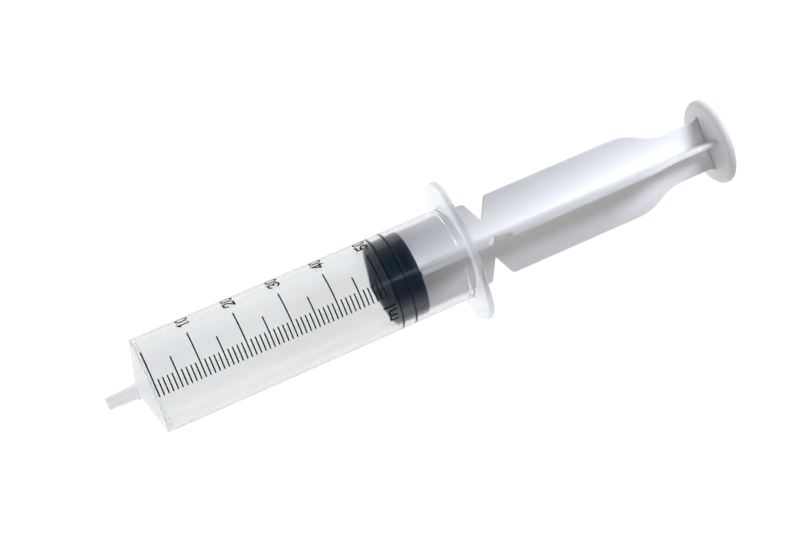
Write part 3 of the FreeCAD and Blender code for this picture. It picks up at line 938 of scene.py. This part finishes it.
def siliconed_rubber():
    """Near-black rubber with a thin film of silicone oil, drier in patches."""
    material, tree, surface = start_material("siliconed_rubber")
    if tree is None:
        return material
    finish = bpy.context.scene.syringe_finishes
    tint = use_group(tree, flow_tint(), Tone=rgba(finish.rubber), Second_tone=rgba(finish.rubber_bloom),
                     Scale=90)
    rough = use_group(tree, handling_marks(), Roughness=0.45, Smear=0.16, Hairline=0.0)
    rubber = add_node(tree, "ShaderNodeBsdfPrincipled", {
        "Base Color": tint["Color"], "Roughness": rough["Roughness"], "IOR": 1.3,
        "Specular IOR Level": 0.3, "Specular Tint": (0.6, 0.8, 1.0, 1),
        "Normal": surface_normal(tree, 0.35, 0.00004, Wave_scale=300, Grain_scale=5000, Grain_share=0.5)})
    tree.links.new(rubber.outputs[0], surface)
    return material


def printed_ink():
    """Matt black screen ink, a little thinner in places."""
    material, tree, surface = start_material("screen_ink")
    if tree is None:
        return material
    finish = bpy.context.scene.syringe_finishes
    tint = use_group(tree, flow_tint(), Tone=rgba(finish.ink), Second_tone=(0.008, 0.008, 0.009, 1),
                     Scale=900)
    rough = use_group(tree, handling_marks(), Roughness=0.55, Smear=0.2, Hairline=0.1)
    ink = add_node(tree, "ShaderNodeBsdfPrincipled", {
        "Base Color": tint["Color"], "Roughness": rough["Roughness"], "Specular IOR Level": 0.2,
        "Normal": surface_normal(tree, 0.3, 0.00001, Wave_scale=900, Grain_scale=9000, Grain_share=0.5)})
    tree.links.new(ink.outputs[0], surface)
    return material


def white_table(settings):
    """A white table with a light of its own, so that it stays white and still keeps a faint shadow.

    Away from the syringe it dims in mirror images and in the light that it sends to other surfaces, and
    stays white for the camera and through clear plastic."""
    material, tree, surface = start_material("white_table")
    if tree is None:
        return material
    shade = settings.table_shade
    paper = add_node(tree, "ShaderNodeBsdfDiffuse", {"Color": (shade, shade, shade, 1)})
    across = add_node(tree, "ShaderNodeSeparateXYZ", {"Vector": own_place(tree)}).outputs["Y"]
    far = add_node(tree, "ShaderNodeMapRange", {
        "Value": add_math(tree, "ABSOLUTE", across), "From Min": TABLE_DIM[0], "From Max": TABLE_DIM[1],
        "To Min": settings.table_glow, "To Max": settings.table_far})
    path = add_node(tree, "ShaderNodeLightPath").outputs
    seen = add_math(tree, "MAXIMUM", path["Is Camera Ray"], path["Is Transmission Ray"])
    level = add_node(tree, "ShaderNodeMapRange", {
        "Value": seen, "From Min": 0.0, "From Max": 1.0,
        "To Min": far.outputs["Result"], "To Max": settings.table_glow})
    glow = add_node(tree, "ShaderNodeEmission", {"Strength": level.outputs["Result"]})
    both = add_node(tree, "ShaderNodeAddShader", {0: paper.outputs[0], 1: glow.outputs[0]})
    tree.links.new(both.outputs[0], surface)
    return material


# Stage

def add_lamp(name, place, target, width, height, power):
    """A soft rectangular lamp that faces a point."""
    lamp = bpy.data.lights.new(name, "AREA")
    lamp.shape = "RECTANGLE"
    lamp.size, lamp.size_y = width, height
    lamp.energy = power
    holder = bpy.data.objects.new(name, lamp)
    bpy.context.scene.collection.objects.link(holder)
    holder.location = place
    holder.rotation_mode = "QUATERNION"
    holder.rotation_quaternion = (Vector(target) - Vector(place)).to_track_quat("-Z", "Y")
    return holder


def add_world(settings):
    """A room that is pale at the table's height, dims towards the ceiling and is darker on the far side."""
    world = bpy.data.worlds.new("studio_room")
    bpy.context.scene.world = world
    world.use_nodes = True
    tree = world.node_tree
    tree.nodes.clear()
    way = add_node(tree, "ShaderNodeTexCoord").outputs["Generated"]
    parts = add_node(tree, "ShaderNodeSeparateXYZ", {"Vector": way}).outputs
    ramp = add_node(tree, "ShaderNodeValToRGB", {"Fac": parts["Z"]})
    low, high = settings.wall_level, settings.ceiling_level
    for stop, (place, rise) in zip([*ramp.color_ramp.elements, None, None], ROOM_STOPS):
        stop = stop or ramp.color_ramp.elements.new(place)
        level = high + rise * (low - high)
        stop.position, stop.color = place, (level, level, level, 1)
    side = add_node(tree, "ShaderNodeMapRange", {
        "Value": parts["Y"], "From Min": -SIDE_BLEND, "From Max": SIDE_BLEND,
        "To Min": 1.0, "To Max": settings.far_share})
    front = add_node(tree, "ShaderNodeMapRange", {
        "Value": parts["X"], "From Min": FRONT_BLEND[0], "From Max": FRONT_BLEND[1],
        "To Min": 0.0, "To Max": 1.0})
    level = settings.front_level
    tone = add_node(tree, "ShaderNodeMix", {"Factor": front.outputs["Result"], "A": ramp.outputs["Color"],
                                            "B": (level, level, level, 1)}, data_type="RGBA")
    strength = add_math(tree, "MAXIMUM", side.outputs["Result"], front.outputs["Result"])
    light = add_node(tree, "ShaderNodeBackground", {"Color": tone.outputs["Result"], "Strength": strength})
    out = tree.nodes.new("ShaderNodeOutputWorld")
    tree.links.new(light.outputs[0], out.inputs["Surface"])


def add_camera(settings):
    """The camera over the syringe, turned as in the picture."""
    camera = bpy.data.cameras.new("camera")
    camera.sensor_width = 36
    camera.lens = settings.focal_length
    camera.clip_start, camera.clip_end = 0.01, 10
    holder = bpy.data.objects.new("camera", camera)
    bpy.context.scene.collection.objects.link(holder)
    sine, cosine = math.sin(settings.tilt), math.cos(settings.tilt)
    roll_sine, roll_cosine = math.sin(settings.roll), math.cos(settings.roll)
    right = Vector((roll_cosine * cosine, -roll_sine, roll_cosine * sine))
    up = Vector((roll_sine * cosine, roll_cosine, roll_sine * sine))
    back = right.cross(up)
    turn = Matrix((right, up, back)).transposed()
    holder.matrix_world = Matrix.Translation(CAMERA_PLACE) @ turn.to_4x4()
    bpy.context.scene.camera = holder


class SYRINGE_OT_stage(bpy.types.Operator):
    """Makes the floor, the lamps, the room and the camera"""
    bl_idname = "syringe.stage"
    bl_label = "Stage"

    def execute(self, context):
        settings = context.scene.syringe_studio
        mesh_data = bmesh.new()
        bmesh.ops.create_grid(mesh_data, x_segments=8, y_segments=8, size=FLOOR_HALF)
        mesh = bpy.data.meshes.new("floor")
        mesh_data.to_mesh(mesh)
        mesh_data.free()
        mesh.materials.append(white_table(settings))
        floor = bpy.data.objects.new("floor", mesh)
        floor.location = (FLOOR_CENTRE, 0, CAD_BOX[0].z - FLOOR_GAP)
        context.scene.collection.objects.link(floor)
        key = add_lamp("key_lamp", *KEY_LAMP, settings.key_strength)
        key.data.color = settings.key_tone
        add_lamp("strip_lamp", *STRIP_LAMP, settings.strip_strength)
        add_world(settings)
        add_camera(settings)
        context.scene.view_settings.view_transform = "Standard"
        return {"FINISHED"}


class SYRINGE_PT_build(bpy.types.Panel):
    """Lists the steps that build the syringe"""
    bl_idname = "SYRINGE_PT_build"
    bl_label = "Syringe"
    bl_space_type = "VIEW_3D"
    bl_region_type = "UI"
    bl_category = "Syringe"

    def draw(self, context):
        for operator in OPERATORS:
            self.layout.operator(operator.bl_idname)


SETTINGS = {
    "syringe_barrel": BarrelSizes,
    "syringe_scale": ScaleSizes,
    "syringe_stopper": StopperSizes,
    "syringe_rod": RodSizes,
    "syringe_finishes": Finishes,
    "syringe_studio": StudioSettings,
}
OPERATORS = (SYRINGE_OT_stage, SYRINGE_OT_barrel, SYRINGE_OT_scale, SYRINGE_OT_numbers, SYRINGE_OT_stopper,
             SYRINGE_OT_rod)


def register():
    for name, group in SETTINGS.items():
        bpy.utils.register_class(group)
        setattr(bpy.types.Scene, name, PointerProperty(type=group))
    for kind in (*OPERATORS, SYRINGE_PT_build):
        bpy.utils.register_class(kind)


def unregister():
    for kind in (SYRINGE_PT_build, *reversed(OPERATORS)):
        bpy.utils.unregister_class(kind)
    for name, group in reversed(SETTINGS.items()):
        delattr(bpy.types.Scene, name)
        bpy.utils.unregister_class(group)


def main():
    register()
    for operator in OPERATORS:
        family, name = operator.bl_idname.split(".")
        getattr(getattr(bpy.ops, family), name)()


if __name__ == "__main__":
    main()
